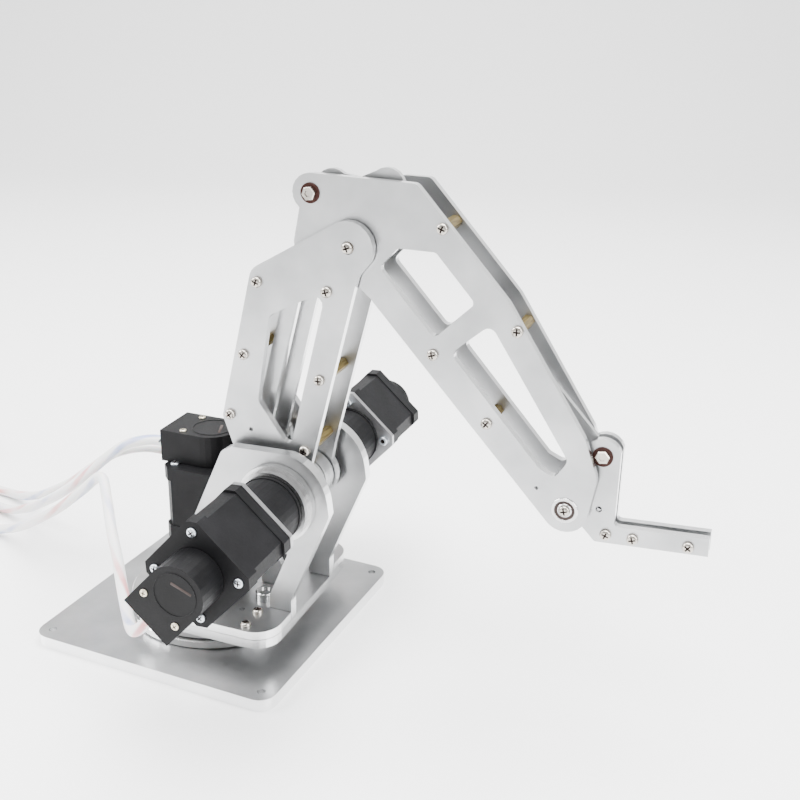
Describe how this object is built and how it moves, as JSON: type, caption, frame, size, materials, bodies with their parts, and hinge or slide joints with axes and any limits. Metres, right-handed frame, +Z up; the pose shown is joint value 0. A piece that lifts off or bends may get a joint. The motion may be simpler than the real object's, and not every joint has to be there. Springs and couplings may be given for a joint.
{
  "type": "desktop robot arm",
  "caption": "Desktop robot arm of windowed metal plates with geared motors, a crank-driven forearm, a levelling linkage, an L bracket at the wrist and coiled motor cables.",
  "frame": {"origin": "centre of the base plate's underside, on the yaw axis", "axes": "+Z up, X and Y square to the base plate; the arm reaches along +X, turned 2.7 degrees towards +Y at rest, and the near motor points along -Y"},
  "size_m": [0.6247, 0.2628, 0.2678],
  "materials": {
    "plate_aluminium": "fine brushed, satin",
    "turned_steel": "turned",
    "black_motor": "matt black",
    "black_cap": "fine textured black",
    "brass": "dull drawn",
    "white_plastic": "moulded",
    "cable_sleeve": "translucent white sleeve"
  },
  "bodies": {
    "base": {"base_plate": "plate_aluminium", "slew_ring_lower": "turned_steel", "yaw_hub": "turned_steel"},
    "turret": {"slew_ring_upper": "turned_steel", "turret_plate": "plate_aluminium", "wing_plate_near": "plate_aluminium", "wing_plate_far": "plate_aluminium", "side_plate_near": "plate_aluminium", "side_plate_far": "plate_aluminium", "levelling_post": "plate_aluminium", "yaw_gearbox": "black_motor", "yaw_motor_body": "black_motor", "yaw_encoder_cap": "black_cap", "yaw_motor_socket": "white_plastic", "near_motor_collar": "turned_steel", "near_gearbox": "black_motor", "near_motor_flange": "plate_aluminium", "near_motor_body": "black_motor", "near_encoder_cap": "black_cap", "far_motor_collar": "turned_steel", "far_gearbox": "black_motor", "far_motor_flange": "plate_aluminium", "far_motor_body": "black_motor", "far_encoder_cap": "black_cap", "yaw_motor_cable": "cable_sleeve", "yaw_cable_coil": "cable_sleeve", "yaw_cable_plug": "white_plastic", "near_motor_cable": "cable_sleeve", "near_cable_coil": "cable_sleeve", "near_cable_plug": "white_plastic", "far_motor_cable": "cable_sleeve", "far_cable_coil": "cable_sleeve", "far_cable_plug": "white_plastic"},
    "upper_arm": {"arm_plate_near": "plate_aluminium", "arm_plate_far": "plate_aluminium", "arm_standoff_rear_top": "brass", "arm_standoff_rear_middle": "brass", "arm_standoff_rear_bottom": "brass", "arm_standoff_front_top": "brass", "arm_standoff_front_middle": "brass", "arm_standoff_front_bottom": "brass", "shoulder_hub": "turned_steel", "elbow_axle": "turned_steel"},
    "crank": {"crank": "plate_aluminium"},
    "crank_pin": {"crank_pin": "turned_steel"},
    "drive_rod": {"drive_rod": "plate_aluminium"},
    "rear_rod": {"rear_rod": "plate_aluminium"},
    "rocker": {"rocker": "plate_aluminium"},
    "forearm_rod": {"forearm_rod": "plate_aluminium"},
    "forearm": {"forearm_plate_near": "plate_aluminium", "forearm_plate_far": "plate_aluminium", "forearm_standoff_top": "brass", "forearm_standoff_elbow": "brass", "forearm_standoff_wrist": "brass", "forearm_standoff_front": "brass", "rear_lobe_bolt": "turned_steel"},
    "bracket": {"bracket_plate_near": "plate_aluminium", "bracket_plate_far": "plate_aluminium", "wrist_axle": "turned_steel", "bracket_pivot_bolt": "turned_steel"}
  },
  "joints": [
    {"name": "base_yaw", "type": "hinge", "parent": "base", "child": "turret", "pos_m": [0, 0, 0.0155], "axis": [0, 0, 1], "range_deg": [-90, 90]},
    {"name": "shoulder", "type": "hinge", "parent": "turret", "child": "upper_arm", "pos_m": [0.05424, 0.00256, 0.0949], "axis": [-0.0471, 0.9989, 0], "range_deg": [-10, 22]},
    {"name": "rocker_level", "type": "hinge", "parent": "upper_arm", "child": "rocker", "pos_m": [0.0882, 0.00416, 0.2303], "axis": [-0.0471, 0.9989, 0], "range_deg": [-23, 11]},
    {"name": "elbow", "type": "hinge", "parent": "rocker", "child": "forearm", "pos_m": [0.0882, 0.00416, 0.2303], "axis": [-0.0471, 0.9989, 0], "range_deg": [-18, 22]},
    {"name": "crank_turn", "type": "hinge", "parent": "turret", "child": "crank", "pos_m": [0.05424, 0.00256, 0.0949], "axis": [-0.0471, 0.9989, 0], "range_deg": [-19, 23]},
    {"name": "crank_pin_turn", "type": "hinge", "parent": "crank", "child": "crank_pin", "pos_m": [0.03266, 0.00154, 0.1185], "axis": [-0.0471, 0.9989, 0], "range_deg": [-23, 19]},
    {"name": "drive_rod_swing", "type": "hinge", "parent": "crank_pin", "child": "drive_rod", "pos_m": [0.03266, 0.00154, 0.1185], "axis": [-0.0471, 0.9989, 0], "range_deg": [-11, 23]},
    {"name": "rear_rod_swing", "type": "hinge", "parent": "turret", "child": "rear_rod", "pos_m": [0.04125, 0.00194, 0.1209], "axis": [-0.0471, 0.9989, 0], "range_deg": [-11, 23]},
    {"name": "forearm_rod_swing", "type": "hinge", "parent": "rocker", "child": "forearm_rod", "pos_m": [0.10318, 0.00487, 0.2588], "axis": [-0.0471, 0.9989, 0], "range_deg": [-19, 23]},
    {"name": "wrist_level", "type": "hinge", "parent": "forearm", "child": "bracket", "pos_m": [0.20088, 0.00947, 0.1112], "axis": [-0.0471, 0.9989, 0], "range_deg": [-23, 19]}
  ],
  "couplings": [
    {"joint": "rocker_level", "follows": "shoulder", "ratio": -1},
    {"joint": "drive_rod_swing", "follows": "shoulder", "ratio": 1},
    {"joint": "rear_rod_swing", "follows": "shoulder", "ratio": 1},
    {"joint": "crank_turn", "follows": "elbow", "ratio": 1},
    {"joint": "crank_pin_turn", "follows": "elbow", "ratio": -1},
    {"joint": "forearm_rod_swing", "follows": "elbow", "ratio": 1},
    {"joint": "wrist_level", "follows": "elbow", "ratio": -1}
  ]
}
